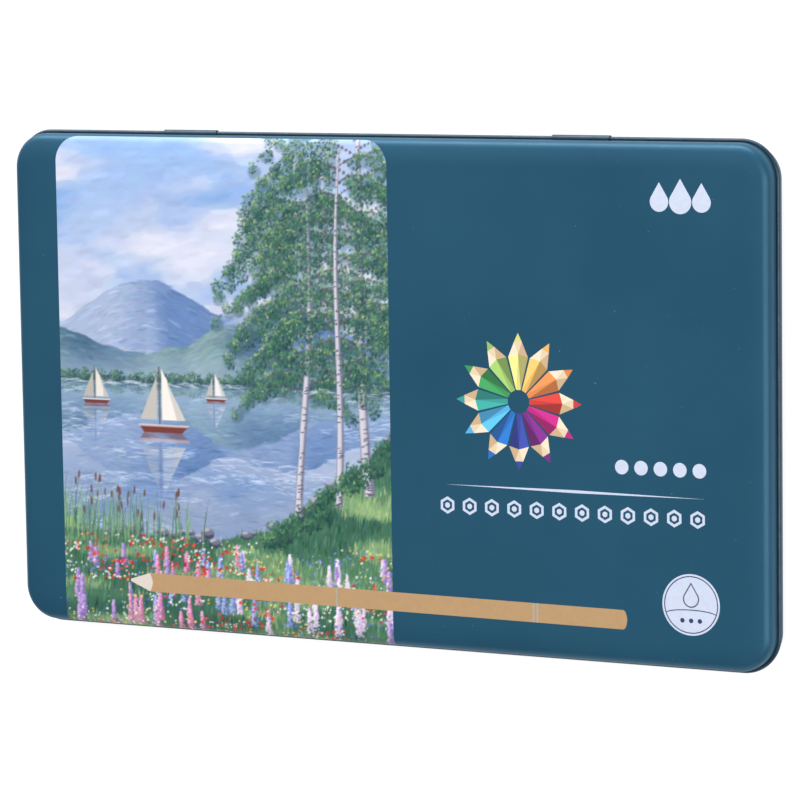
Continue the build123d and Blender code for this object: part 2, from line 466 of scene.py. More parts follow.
def hexagon_reach(turn):
    """A pencil's radius in a direction, for a hexagon with rounded corners and a flat on top."""
    off = abs((turn - pi / 6) % (pi / 3) - pi / 6)
    inner = FLAT_HALF - CORNER_ROUND
    corner = (inner, inner * tan(pi / 6))
    if FLAT_HALF * tan(off) <= corner[1]:
        return FLAT_HALF / cos(off)
    dot = corner[0] * cos(off) + corner[1] * sin(off)
    return dot + sqrt(CORNER_ROUND**2 - corner[0]**2 - corner[1]**2 + dot**2)


def tube(name, rings, closed, materials, finishes):
    """Surface through rings of points. The ends are joined, or closed with a face each."""
    count = len(rings[0])
    vertices = [point for ring in rings for point in ring]
    faces, marks = [], []
    last = len(rings) if closed else len(rings) - 1
    for row in range(last):
        low, high = row * count, (row + 1) % len(rings) * count
        for step in range(count):
            faces.append([low + step, low + (step + 1) % count, high + (step + 1) % count, high + step])
            marks.append(finishes[row])
    if not closed:
        faces += [list(range(count)), list(range((len(rings) - 1) * count, len(rings) * count))]
        marks += [finishes[0], finishes[-1]]
    return make_object(name, vertices, faces, materials, marks)


def build_pencil(number, y, z, paint, wood, pigment, casing_slot, core_slot):
    """One pencil: hexagonal casing with the scalloped edge that a sharpener leaves, and its core."""
    rng = np.random.default_rng(100 + number)
    offs = (-30, -27.5, -25, -22.3, -12, 0, 12, 22.3, 25, 27.5)  # degrees, close together on the corners
    flats = [radians(60 * side + off) for side in range(6) for off in offs]
    turns = [turn + pi / 2 for turn in flats]
    reach = [hexagon_reach(turn) for turn in flats]
    core_x = PENCIL_TIP + (CORE_RADIUS - BLUNT_RADIUS) / POINT_SLOPE
    edges = [PENCIL_TIP + (r - BLUNT_RADIUS) / POINT_SLOPE + rng.normal(0, SHARPENED_WANDER) for r in reach]

    def ring(xs, radii):
        return [(x, y + r * cos(t), z + r * sin(t)) for x, r, t in zip(xs, radii, turns)]

    def even_ring(x, radius):
        return ring([x] * len(turns), [radius] * len(turns))

    rings = []
    cone = (0, 0.12, 0.3, 0.5, 0.7, 0.88, 1)  # parts of the way up the sharpened wood
    for part in cone:
        xs = [core_x + (edge - core_x) * part for edge in edges]
        rings.append(ring(xs, [CORE_RADIUS + (r - CORE_RADIUS) * part for r in reach]))
    for x in (PENCIL_TIP + PENCIL_ENDS, PENCIL_TAIL - PENCIL_ENDS):
        rings.append(ring([x] * len(turns), reach))
    full = max(reach) + TAIL_START
    for step in range(TAIL_STEPS + 1):
        back = TAIL_BEVEL * step / TAIL_STEPS
        limit = full - TAIL_BEVEL + sqrt(TAIL_BEVEL**2 - back**2)
        rings.append(ring([PENCIL_TAIL - TAIL_BEVEL + back] * len(turns), [min(r, limit) for r in reach]))
    painted = len(rings) - len(cone)
    rings += [even_ring(PENCIL_TAIL, CORE_BORE), even_ring(core_x, CORE_BORE)]
    finishes = [1] * (len(cone) - 1) + [0] * painted + [1] * 3
    casing = tube(f"pencil_{number:02d}_body", rings, True, [paint, wood], finishes)
    place(casing, "base", casing_slot, f"pencil_{number:02d}_casing")
    blunt = [(PENCIL_TIP, BLUNT_RADIUS * 0.6), (PENCIL_TIP + 0.15, BLUNT_RADIUS)]
    stations = blunt + [(core_x, CORE_RADIUS), (PENCIL_TAIL, CORE_RADIUS)]
    rings = [even_ring(x, radius) for x, radius in stations]
    core = tube(f"pencil_{number:02d}_lead", rings, False, [pigment], [0] * len(rings))
    place(core, "base", core_slot, f"pencil_{number:02d}_core")


def build_pencils():
    brown, cream = (196, 156, 110), (226, 192, 148)
    wood = finish("sharpened_wood", brown, cream, 420, (0.55, 0.75), (0.06, 1, 1), depth=0.02)
    colours = {slot["slot"]: slot["base_color"] for slot in frame["record"]["materials"]}
    slots = {part["node"]: part["material_slot"] for part in frame["record"]["subparts"]}
    for number in range(1, PENCILS + 1):
        casing_slot, core_slot = slots[f"pencil_{number:02d}_casing"], slots[f"pencil_{number:02d}_core"]
        low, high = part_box(f"pencil_{number:02d}_casing")
        y, z = (low.y + high.y) / 2 / MM, (low.z + high.z) / 2 / MM
        colour = [255 * level for level in colours[casing_slot]]
        deep, dull = [0.9 * c for c in colour], [0.8 * c for c in colour]
        paint = finish(f"lacquer_{number:02d}", deep, colour, 60, (0.16, 0.24), depth=0.002, coat=0.6)
        pigment = finish(f"pigment_{number:02d}", dull, colour, 900, (0.6, 0.8), depth=0.02)
        build_pencil(number, y, z, paint, wood, pigment, casing_slot, core_slot)


# Print on the lid

def lid_profile():
    """The lid's outer section across the tin, from the middle of its face down to its bead."""
    section = [(-LID_WIDTH / 2, FACE_Z)] + lid_face(0) + [(0, BEAD_Z)]
    out, up = np.array(section).T
    along = np.concatenate([[0], np.cumsum(np.hypot(np.diff(out), np.diff(up)))])
    lean = np.arctan2(-np.gradient(up, along), np.gradient(out, along))
    return out + LID_WIDTH / 2, up, along, lean


LID_Y, LID_Z, LID_ALONG, LID_LEAN = lid_profile()


def lid_skin(x, s, lift):
    """Points over the lid's lacquer: x along the tin, s the way across it, down the bends and skirts."""
    way = np.abs(s)
    lean = np.interp(way, LID_ALONG, LID_LEAN)
    y = np.sign(s) * (np.interp(way, LID_ALONG, LID_Y) + lift * np.sin(lean))
    z = np.interp(way, LID_ALONG, LID_Z) + lift * np.cos(lean)
    return np.stack([np.broadcast_to(x, y.shape), y, z], axis=-1)


def skin_sheet(name, x, s, material, paint):
    """A thin closed layer of ink over rows of places on the lid, each place with its colour."""
    rows, cols = x.shape
    top = lid_skin(x, s, INK).reshape(-1, 3)
    index = np.arange(rows * cols).reshape(rows, cols)
    loop = np.concatenate([index[0, :-1], index[:-1, -1], index[-1, :0:-1], index[:0:-1, 0]])
    under = lid_skin(x.ravel()[loop], s.ravel()[loop], -INK / 2)
    ring = loop.tolist()
    below = {corner: rows * cols + number for number, corner in enumerate(ring)}
    quads = np.stack([index[:-1, :-1], index[:-1, 1:], index[1:, 1:], index[1:, :-1]], axis=-1)
    faces = quads.reshape(-1, 4).tolist()
    for here, onward in zip(ring, ring[1:] + ring[:1]):
        faces.append([onward, here, below[here], below[onward]])
    left, right = index[:, 0].tolist(), index[:, -1].tolist()
    for row in range(rows - 1):
        start = index[0, ::-1].tolist() if row == 0 else [right[row], left[row]]
        end = index[-1].tolist() if row == rows - 2 else [left[row + 1], right[row + 1]]
        faces.append([below[v] for v in start + end])
    thing = make_object(name, np.concatenate([top, under]), faces, [material], sharp=60)
    layer = thing.data.color_attributes.new("paint", "FLOAT_COLOR", "POINT")
    colours = np.ones((len(top) + len(under), 4), dtype=np.float32)
    colours[:len(top), :3] = paint.reshape(-1, 3)
    colours[len(top):, :3] = paint.reshape(-1, 3)[loop]
    layer.data.foreach_set("color", colours.ravel())
    place(thing, "lid", "lid_enamel")


def turned_left(outline):
    """Whether an outline runs anticlockwise."""
    return sum(a[0] * b[1] - b[0] * a[1] for a, b in zip(outline, outline[1:] + outline[:1])) > 0


def flat_ink(name, points, faces, material, lift=INK, colours=None):
    """A thin closed layer of ink on the lid's face, from points in the plane and the faces between them."""
    count = len(points)
    faces = [face if turned_left([points[v] for v in face]) else face[::-1] for face in faces]
    vertices = [(x, y, FACE_Z + lift) for x, y in points] + [(x, y, FACE_Z - INK / 2) for x, y in points]
    seen = {edge: face for face in faces for edge in zip(face, face[1:] + face[:1])}
    solid = [list(face) for face in faces] + [[count + v for v in reversed(face)] for face in faces]
    owners = list(range(len(faces))) * 2
    for (here, onward), face in seen.items():
        if (onward, here) not in seen:
            solid.append([onward, here, count + here, count + onward])
            owners.append(faces.index(face))
    thing = make_object(name, vertices, solid, [material])
    if colours is not None:
        layer = thing.data.color_attributes.new("paint", "FLOAT_COLOR", "CORNER")
        for polygon in thing.data.polygons:
            for corner in polygon.loop_indices:
                layer.data[corner].color = srgb(*colours[owners[polygon.index]])
    place(thing, "lid", "lid_enamel")


def outline_shapes(outlines):
    """Points and faces of separate filled outlines."""
    points, faces = [], []
    for outline in outlines:
        faces.append(list(range(len(points), len(points) + len(outline))))
        points += outline
    return points, faces


def bands(outer, inner):
    """Points and faces of a band between two outlines of as many points."""
    count = len(outer)
    faces = [[k, (k + 1) % count, count + (k + 1) % count, count + k] for k in range(count)]
    return outer + inner, faces


def joined(*shapes):
    points, faces = [], []
    for more, sides in shapes:
        faces += [[len(points) + v for v in side] for side in sides]
        points += more
    return points, faces


def disc(x, y, radius, steps=48):
    return arc((x, y), radius, 0, 360, steps)[:-1]


def drop(x, y, height):
    """Outline of a paint drop standing on its round end."""
    radius = 0.34 * height
    return arc((x, y - height / 2 + radius), radius, -205, 230, 28) + [(x, y + height / 2)]


def build_prints():
    white, navy, ochre, wood, grey = [ink(name, colour) for name, colour in INKS.items()]
    facets = painted_ink()
    build_printed_pencil(ochre, wood, grey)
    build_star(facets)
    dots = [disc(DOTS_X + DOTS_PITCH * k, DOTS_Y, DOT_RADIUS) for k in range(5)]
    flat_ink("print_dots", *outline_shapes(dots), white)
    flat_ink("print_line", *outline_shapes([TAPERED_LINE]), white)
    ends = []
    for k in range(PENCILS):
        centre = (ENDS_X + ENDS_PITCH * k, ENDS_Y)
        outer, inner = [arc(centre, radius, 30, 360, 6)[:-1] for radius in (END_OUTER, END_INNER)]
        ends += [bands(outer, inner), outline_shapes([disc(*centre, END_CORE, 20)])]
    flat_ink("print_pencil_ends", *joined(*ends), white)
    flat_ink("print_drops", *outline_shapes([drop(*sizes) for sizes in DROPS]), white)
    build_badge(white, navy)


def build_printed_pencil(ochre, wood, grey):
    """Picture of a plain pencil along the front of the lid, a little askew."""
    half, tip, neck, end, bulge = 2.1, -63.2, -58.2, 59.4, 0.7
    band_half, band_places = 0.2, (-10.5, 37.4, 38.35)

    def askew(places):
        return [(x, DRAWN_PENCIL_Y + DRAWN_PENCIL_LEAN * x + across) for x, across in places]

    scallop = [(neck + bulge * sin(pi * k / 8), -half + half * k / 4) for k in range(9)]
    lower = [(end - 0.95, -half), (end - 0.5, -half + 0.25), (end - 0.2, -1.2), (end, -0.3)]
    upper = [(x, -across) for x, across in reversed(lower)]
    barrel = askew(lower + upper + scallop[::-1])
    cone = askew(scallop + [(tip, 0.45), (tip, -0.05)])
    stripes = []
    for x in band_places:
        left, right = x - band_half, x + band_half
        stripes.append(askew([(left, -half), (right, -half), (right, half), (left, half)]))
    flat_ink("print_pencil_barrel", *outline_shapes([barrel]), ochre, 2 * INK)
    flat_ink("print_pencil_cone", *outline_shapes([cone]), wood, 2 * INK)
    flat_ink("print_pencil_bands", *outline_shapes(stripes), grey, 3 * INK)


def build_star(material):
    """Twelve pencils set round a point, a colour each, cut into facets."""
    hues = [
        (222, 216, 132), (234, 184, 104), (228, 138, 80), (206, 66, 60), (190, 44, 128), (124, 46, 134),
        (60, 74, 158), (44, 112, 190), (86, 178, 226), (60, 158, 150), (64, 150, 88), (150, 188, 104),
    ]
    woods = [(206, 176, 138), (232, 210, 176), (244, 230, 204)]
    # A pencil's corners as distances and angles, and its facets with their shades, which wood has none of
    corners = [
        (2.6, -12), (2.6, 12), (9.9, -13.6), (10.3, 0), (9.9, 13.6), (12.9, -4.2), (12.9, 4.2), (14.8, 0),
    ]
    facets = [
        ((0, 1, 3), 1.0), ((0, 3, 2), 0.78), ((1, 4, 3), 1.14), ((2, 3, 5), None), ((3, 6, 5), None),
        ((3, 4, 6), None), ((5, 6, 7), 1.0),
    ]
    points, faces, colours = [], [], []
    for number, hue in enumerate(hues):
        first = len(points)
        for radius, off in corners:
            angle = radians(90 - 360 / PENCILS * number + off)
            points.append((STAR_X + radius * cos(angle), STAR_Y + radius * sin(angle)))
        wood = iter(woods)
        for facet, shade in facets:
            faces.append([first + corner for corner in facet])
            colours.append(next(wood) if shade is None else [min(255, level * shade) for level in hue])
    flat_ink("print_star", points, faces, material, colours=colours)


def build_badge(white, navy):
    """Round badge with a drop over a ground line, and three dots."""
    x, y = BADGE_X, BADGE_Y
    ring_outer, ring_inner, line = 6.15, 5.93, 0.2
    flat_ink("badge_disc", *outline_shapes([disc(x, y, BADGE_RADIUS, 72)]), white)
    ring = bands(disc(x, y, ring_outer, 72), disc(x, y, ring_inner, 72))
    outer, inner = drop(x, y + 2.1, 5.4), drop(x, y + 2.0, 4.7)
    hill = [(x + 5.7 * cos(a), y - 1.9 + 0.9 * sin(a)) for a in np.linspace(pi, 0, 25)]
    under = [(px, py - line) for px, py in hill]
    count = len(hill)
    ground = (hill + under, [[k, k + 1, count + k + 1, count + k] for k in range(count - 1)])
    dots = outline_shapes([disc(x + 2.0 * k, y - 3.4, 0.5, 20) for k in (-1, 0, 1)])
    flat_ink("badge_lines", *joined(ring, bands(outer, inner), ground, dots), navy, 2 * INK)


# The painting: an invented lake in summer, its places and sizes in millimetres from the panel's lower left

class Painting:
    """A canvas of screen colours, its rows going up."""

    def __init__(self, width, height, seed):
        self.rng = np.random.default_rng(seed)
        rows, cols = round(height * CELLS), round(width * CELLS)
        self.y, self.x = [(axis + 0.5) / CELLS for axis in np.mgrid[0:rows, 0:cols]]
        self.ink = np.zeros((rows, cols, 3))

    def noise(self, wide, high, octaves=4):
        """Smooth noise between 0 and 1, with features of a width and height."""
        total, weight = 0.0, 0.0
        for octave in range(octaves):
            u, v = self.x[0] / wide * 2**octave, self.y[:, 0] / high * 2**octave
            grid = self.rng.random((int(v[-1]) + 2, int(u[-1]) + 2))
            u0, v0 = u.astype(int), v.astype(int)
            fu, fv = u - u0, (v - v0)[:, None]
            fu, fv = fu * fu * (3 - 2 * fu), fv * fv * (3 - 2 * fv)
            below = grid[v0][:, u0] * (1 - fu) + grid[v0][:, u0 + 1] * fu
            above = grid[v0 + 1][:, u0] * (1 - fu) + grid[v0 + 1][:, u0 + 1] * fu
            total = total + (below * (1 - fv) + above * fv) * 0.5**octave
            weight += 0.5**octave
        return total / weight

    def wash(self, mask, colour):
        self.ink = blend(self.ink, colour, np.clip(mask, 0, 1)[..., None])

    def patch(self, corners, colour, strength=1.0):
        """A filled convex shape, its corners given anticlockwise."""
        inside = np.full(self.x.shape, np.inf)
        for (ax, ay), (bx, by) in zip(corners, corners[1:] + corners[:1]):
            side = ((bx - ax) * (self.y - ay) - (by - ay) * (self.x - ax)) / hypot(bx - ax, by - ay)
            inside = np.minimum(inside, side)
        self.wash(np.clip(inside * CELLS + 0.5, 0, 1) * strength, colour)

    def dab(self, x, y, long, wide, turn, colour, strength=0.85):
        """One stroke of the brush: a soft ellipse, turned from the X axis."""
        reach = max(long, wide)
        rows, cols = self.x.shape
        c0, c1 = max(int((x - reach) * CELLS), 0), min(int((x + reach) * CELLS) + 2, cols)
        r0, r1 = max(int((y - reach) * CELLS), 0), min(int((y + reach) * CELLS) + 2, rows)
        if c0 >= c1 or r0 >= r1:
            return
        dx, dy = self.x[0, c0:c1] - x, self.y[r0:r1, :1] - y
        along = (dx * cos(turn) + dy * sin(turn)) / long
        off = (dy * cos(turn) - dx * sin(turn)) / wide
        mask = np.clip(1.8 * (1 - along * along - off * off), 0, 1) * strength
        patch = self.ink[r0:r1, c0:c1]
        patch += (np.asarray(colour) - patch) * mask[..., None]

    def strokes(self, mask, count, long, wide, turn, vary, tints=None, strength=0.8):
        """Strokes at random places of a mask, in the colour under them or in one of the tints."""
        rows, cols = np.nonzero(mask)
        for pick in self.rng.integers(len(rows), size=count):
            row, col = rows[pick], cols[pick]
            base = self.ink[row, col] if tints is None else np.asarray(tints[self.rng.integers(len(tints))])
            colour = base + self.rng.normal(0, vary) + self.rng.normal(0, vary / 3, 3)
            angle = turn[row, col] if isinstance(turn, np.ndarray) else turn
            grow = self.rng.uniform(0.6, 1.4, 2)
            self.dab(self.x[row, col], self.y[row, col], long * grow[0], wide * grow[1],
                     angle + self.rng.normal(0, 0.15), colour, strength)

    def hills(self, crest, dark, light, haze, foot):
        """A rounded range under a crest line, paler where the mist lies at its foot."""
        grain = self.noise(8, 5, 5)
        calm = np.convolve(np.pad(crest, 24, mode="edge"), np.full(49, 1 / 49), mode="valid")
        steep = np.gradient(calm)
        lit = np.clip(0.5 + 1.2 * steep * CELLS + 0.9 * (grain - 0.5), 0, 1)[..., None]
        mask = np.clip((crest - self.y) * 4, 0, 1)
        self.wash(mask, blend(dark, light, lit))
        turn = np.broadcast_to(np.arctan(steep * CELLS * 0.8), self.x.shape)
        self.strokes((mask > 0.5) & (self.y > foot), 1500, 1.6, 0.24, turn, 8)
        self.wash(np.clip((foot + 9 - self.y) / 11, 0, 0.7) * mask, haze)

    def foliage(self, x, y, wide, high, count, leaf, tints):
        """A clump of leaves, lit from the upper left. The tints run from its shade to its light."""
        tints = np.array(tints)
        for number in range(count):
            turn, far = self.rng.uniform(0, 2 * pi), self.rng.random() ** 0.6
            u, v = far * cos(turn), far * sin(turn)
            glow = np.clip(0.45 + 0.35 * v - 0.28 * u + self.rng.normal(0, 0.17), 0, 0.999)
            glow *= 0.45 + 0.55 * number / count
            place = glow * (len(tints) - 1)
            low = int(place)
            colour = tints[low] + (tints[low + 1] - tints[low]) * (place - low) + self.rng.normal(0, 6, 3)
            self.dab(x + wide * u, y + high * v, leaf * self.rng.uniform(0.7, 1.3), leaf * 0.55,
                     self.rng.uniform(0, pi), colour)

    def sail(self, x, y, tall, cloth):
        """A small sailing boat and its broken image in the water."""
        shade = [level * 0.8 for level in cloth]
        wide = 0.42 * tall
        parts = [  # mast, mainsail, its fold, jib, hull and gunwale, as parts of the boat's height
            (((-0.03, 0.14), (-0.01, 0.14), (-0.01, 1.0), (-0.03, 1.0)), (96, 84, 88), 1.0),
            (((0.02, 0.2), (0.42, 0.2), (0.02, 0.97)), cloth, 1.0),
            (((0.28, 0.2), (0.42, 0.2), (0.12, 0.76)), shade, 0.7),
            (((-0.36, 0.2), (-0.06, 0.2), (-0.06, 0.84)), shade, 1.0),
            (((-0.3, 0.0), (0.36, 0.0), (0.5, 0.13), (-0.4, 0.13)), (120, 58, 52), 1.0),
            (((-0.37, 0.09), (0.45, 0.09), (0.5, 0.13), (-0.4, 0.13)), (232, 226, 224), 1.0),
        ]
        for side, strength in ((-1, 0.45), (1, 1.0)):
            for corners, colour, share in parts:
                placed = [(x + u * tall, y + side * v * tall) for u, v in corners]
                self.patch(placed if side > 0 else placed[::-1], colour, strength * share)
        for ripple in range(int(tall * 9)):
            down = self.rng.random() ** 0.8
            rx, glint = x + self.rng.normal(0, 0.5) * wide, np.array((126, 152, 198)) + self.rng.normal(0, 14)
            self.dab(rx, y - down * tall, 0.2 * tall, 0.11, 0, glint, 0.7)

    def birch(self, x, foot, top, lean, wide):
        """A birch: pale trunk with dark scars, thin boughs that arch over, and hanging leaves."""
        tall = top - foot
        limbs = tall * 0.42

        def trunk(part):
            """The trunk's middle and half width, a part of the way up."""
            middle = x + lean * part + 0.012 * tall * sin(5 * part + x)
            return middle, foot + tall * part, wide * (1 - 0.78 * part) / 2

        boughs = []
        for number in range(int(limbs)):
            part = 0.34 + 0.62 * (number + self.rng.random()) / limbs
            side = -1 if number % 2 else 1
            fullness = 0.06 + 0.26 * sin(pi * min(1, 1.15 - part))
            reach = fullness * tall * self.rng.uniform(0.7, 1.15)
            bx, by = trunk(part)[:2]
            for step in range(26):
                go = step / 25
                px = bx + side * reach * go
                py = by + reach * (0.75 * go - 1.0 * go * go)
                self.dab(px, py, 0.4, 0.17 * (1 - 0.6 * go) * wide, 0, (92, 84, 98), 0.8)
                if step > 4 and step % 3 == 0:
                    boughs.append((px, py))
        shade = [(28, 62, 66), (44, 92, 84), (82, 130, 98), (140, 172, 118), (206, 214, 148)]
        order = self.rng.permutation(len(boughs))
        for px, py in boughs:
            self.dab(px, py - 1.3, 2.0, 1.7, self.rng.uniform(0, 3), (34, 72, 76), 0.3)
        behind = len(order) // 2
        for pick in order[:behind]:
            px, py = boughs[pick]
            self.foliage(px, py - 1.1, 1.9, 2.1, 24, 0.42, shade)
        for step in range(int(tall * 4)):
            part = step / (tall * 4)
            tx, ty, half = trunk(part)
            self.dab(tx, ty, 0.35, half * 1.15, pi / 2, (124, 122, 146), 0.9)
            self.dab(tx - 0.2 * half, ty, 0.35, half * 0.75, pi / 2, (224, 222, 230), 0.9)
        for scar in range(int(tall * 0.9)):
            part = self.rng.random() ** 1.3
            tx, ty, half = trunk(part)
            off, long = self.rng.uniform(-0.5, 0.5) * half, self.rng.uniform(0.3, 0.8) * half
            self.dab(tx + off, ty, long, 0.13, 0.1, (58, 52, 68))
        for pick in order[behind:]:
            px, py = boughs[pick]
            self.foliage(px - 0.3, py - 0.5, 1.5, 1.6, 20, 0.38, shade[1:])

    def lupin(self, x, foot, tall, light, dark):
        """A flower spike: whorls of small blooms that thin out to the tip."""
        light, dark = np.array(light), np.array(dark)
        for step in range(int(tall * 3)):
            self.dab(x, foot + step / 3, 0.3, 0.14, pi / 2, (70, 118, 92))
        start = foot + 0.35 * tall
        rows = int(tall * 2.2)
        for row in range(rows):
            part = row / rows
            half = 0.95 * (1 - part) ** 0.7 * min(1.0, tall / 9)
            for bloom in range(4):
                off = self.rng.uniform(-1, 1)
                mixed = dark + (light - dark) * np.clip(0.55 - 0.45 * off + self.rng.normal(0, 0.2), 0, 1)
                self.dab(x + off * half, start + part * 0.65 * tall, 0.32, 0.24, 0.6 * off, mixed + 26 * part)


def paint_picture(width, height):
    """Sails on a lake under blue hills, birches on the right bank, reeds and wild flowers in front."""
    art = Painting(width, height, 11)
    x, y, rng = art.x, art.y, art.rng
    shore, across = 58.5, 84  # the far shore's height, and the picture's width

    def crest(base, humps, length, rise):
        """A rough skyline: humps over a base, as height, middle and half width."""
        line = base
        for high, middle, half in humps:
            line = line + high * np.exp(-((x[0] - middle) / half) ** 2)
        return line + art.noise(length, length, 4)[0] * rise

    up = np.clip((y - 60) / 52, 0, 1)[..., None]
    art.ink = blend((218, 214, 226), (150, 184, 232), up)
    art.wash((art.noise(34, 12, 5) - 0.44) * 3.2, (196, 204, 230))
    art.wash((art.noise(24, 9, 5) - 0.48) * 4.5, (220, 222, 238))
    art.wash((art.noise(22, 10, 4) - 0.6) * 3.4, (122, 164, 222))
    art.strokes(y > 66, 1700, 2.4, 0.7, 0.15, 5, strength=0.5)

    far = crest(68, ((13, 22, 17), (8, 58, 14)), 9, 3)
    art.hills(far, (104, 134, 184), (168, 184, 214), (196, 206, 226), shore)
    near = crest(63, ((8, 46, 15), (6, 2, 12)), 7, 2.4)
    art.hills(near, (70, 106, 136), (128, 158, 164), (164, 184, 204), shore)
    for wood in range(170):
        wx = rng.uniform(0, across)
        size = rng.uniform(0.8, 1.7) * (1 + 0.5 * (wx > 60))
        tints = [(40, 72, 86), (66, 104, 104), (112, 146, 124), (160, 182, 144)]
        art.foliage(wx, shore + size * 0.8, size, size * 1.1, 22, 0.42, tints)

    water = y < shore
    rows = np.clip((2 * shore * CELLS - np.arange(len(y))).astype(int), 0, len(y) - 1)
    shake = (art.noise(9, 0.9, 3) - 0.5) * 1.6 * CELLS
    cols = np.clip(np.arange(x.shape[1]) + shake, 0, x.shape[1] - 1).astype(int)
    mirrored = art.ink[rows[:, None], cols]
    deep = np.clip((shore - y) / 30, 0, 1)[..., None]
    tone = blend((160, 186, 224), (52, 88, 140), deep)
    art.wash(water.astype(float), mirrored * 0.55 + tone * 0.45)
    open_water = water & (y > 14)
    art.strokes(open_water, 3000, 1.7, 0.14, 0.0, 10)
    bright = open_water & (art.noise(24, 5, 3) > 0.55)
    art.strokes(bright, 900, 1.9, 0.13, 0.0, 6, [(206, 218, 242)], 0.6)
    edge = (y > shore - 0.5) & (y < shore + 0.4)
    art.strokes(edge, 300, 1.4, 0.16, 0.0, 6, [(198, 210, 224), (70, 98, 118)], 0.7)
    art.sail(40, 55.2, 6.5, (238, 234, 232))
    art.sail(9, 53.5, 8.5, (232, 226, 216))
    art.sail(26, 47.5, 15, (244, 238, 230))

    bank = 17 * np.clip((x - 46) / 38, 0, 1) ** 1.4
    line = 24 + 9 * ((x - 30) / 54) ** 2 + bank + (art.noise(6, 60, 3) - 0.5) * 3
    meadow = y < line

    def line_at(place):
        return float(np.interp(place, x[0], line[0]))

    shade = np.clip((line - y) * 2, 0, 1)
    turf, glow = art.noise(12, 5, 4)[..., None], art.noise(16, 4, 3)
    art.wash(shade, blend((96, 142, 100), (38, 84, 76), turf))
    art.wash(meadow * (glow - 0.5) * 3, (150, 180, 124))
    art.strokes(meadow, 5200, 1.1, 0.13, 1.45, 17)
    sunlit = meadow & (glow > 0.52)
    art.strokes(sunlit, 900, 1.0, 0.12, 1.5, 8, [(180, 200, 138), (128, 178, 128)], 0.7)
    for stone in range(34):
        sx = rng.uniform(0, across)
        sy = line_at(sx) + rng.normal(0, 0.6)
        size = rng.uniform(0.6, 1.8)
        art.dab(sx, sy - 0.3 * size, size * 1.1, size * 0.6, 0, (54, 60, 84))
        art.dab(sx, sy, size, size * 0.55, 0, (124, 122, 144))
        art.dab(sx - 0.25 * size, sy + 0.22 * size, size * 0.6, size * 0.25, 0.1, (188, 184, 202))

    for birch in ((79, 36, 126, -4, 3.0), (61.5, 30, 104, 3, 2.3), (70, 33, 112, 2.5, 2.0)):
        art.birch(*birch)
    scrub = [(26, 60, 62), (48, 96, 78), (96, 142, 100), (168, 194, 128)]
    for clump in range(60):
        cx = 52 + 32 * rng.random()
        cy = line_at(cx) - rng.uniform(0, 5)
        art.foliage(cx, cy, 2.2, 1.5, 26, 0.45, scrub)

    for reed in range(150):
        rx = abs(rng.normal(0, 17))
        foot = line_at(rx) - rng.uniform(-0.6, 3.5)
        tall, lean = rng.uniform(5, 12), rng.normal(0.05, 0.1)
        green = np.array((56, 98, 84)) + rng.random() * np.array((90, 90, 50))
        for step in range(int(tall * 1.6)):
            go = step / (tall * 1.6)
            px, py, turn = rx + lean * tall * go * go, foot + tall * go, pi / 2 - 2 * lean * go
            art.dab(px, py, 0.6, 0.17 * (1.1 - go), turn, green)
        if reed % 5 == 0:
            art.dab(rx + lean * tall, foot + tall + 0.6, 1.1, 0.3, pi / 2 - lean, (104, 70, 60))

    tints = [
        ((206, 170, 222), (116, 84, 168)), ((240, 176, 206), (178, 84, 140)),
        ((176, 186, 240), (78, 92, 178)), ((244, 226, 240), (186, 160, 206)),
    ]
    spikes = [(rng.uniform(0, across), rng.uniform(-2, 17)) for spike in range(120)]
    for px, py in sorted(spikes, key=lambda spike: -spike[1]):
        gathered = sin(0.31 * px + 0.5 * py) * cos(0.23 * px - 0.4 * py)
        if gathered > -0.16:
            light, dark = tints[int(px / 19 + rng.normal(0, 0.6)) % 4]
            art.lupin(px, py, rng.uniform(6.5, 10.5) * (1.15 - 0.02 * py), light, dark)
    blooms = meadow & (y < 24)
    kinds = [
        (420, 0.42, [(214, 52, 44), (236, 96, 62), (196, 36, 58)]),
        (420, 0.3, [(246, 242, 250), (250, 246, 232)]),
        (300, 0.3, [(92, 110, 206), (126, 146, 226)]),
        (260, 0.3, [(240, 206, 92), (250, 226, 130)]),
    ]
    for count, size, hues in kinds:
        drift = blooms & (art.noise(13, 5, 3) > 0.52)
        art.strokes(drift, count, size, size * 0.75, 0, 10, hues, 0.95)
    return art.ink


def build_picture():
    """The painting on its panel, in two sheets with one seam."""
    top = float(np.interp(LID_WIDTH / 2 - PANEL_INSET, LID_Y, LID_ALONG))
    bottom = float(np.interp(-BEAD_Z - BEAD_RADIUS, -LID_Z, LID_ALONG))
    width, height = PANEL_RIGHT - PANEL_LEFT, top + bottom
    art = paint_picture(width, height)
    rows, cols = art.shape[0] // 2, art.shape[1] // 2
    art = linear(art[:2 * rows, :2 * cols].reshape(rows, 2, cols, 2, 3).mean(axis=(1, 3)))
    rounded_from = height - PANEL_CORNER
    straight = np.arange(0, rounded_from, PICTURE_PITCH)
    curve = [height - PANEL_CORNER * (1 - sin(radians(a))) for a in range(0, 91, 2)]
    ways = np.concatenate([straight, curve])[:, None]
    over = np.clip(ways - rounded_from, 0, PANEL_CORNER)
    inset = PANEL_CORNER - np.sqrt(PANEL_CORNER**2 - over**2)
    x = inset + np.linspace(0, 1, round(width / PICTURE_PITCH) + 1) * (width - 2 * inset)
    y = np.broadcast_to(ways, x.shape)
    art_rows = np.clip(y / height * rows, 0, rows - 1).astype(int)
    art_cols = np.clip(x / width * cols, 0, cols - 1).astype(int)
    paint = art[art_rows, art_cols]
    material, half = painted_ink(), len(ways) // 2
    for name, part in (("picture_lower", slice(0, half + 1)), ("picture_upper", slice(half, None))):
        skin_sheet(name, PANEL_LEFT + x[part], y[part] - bottom, material, paint[part])


# Stage

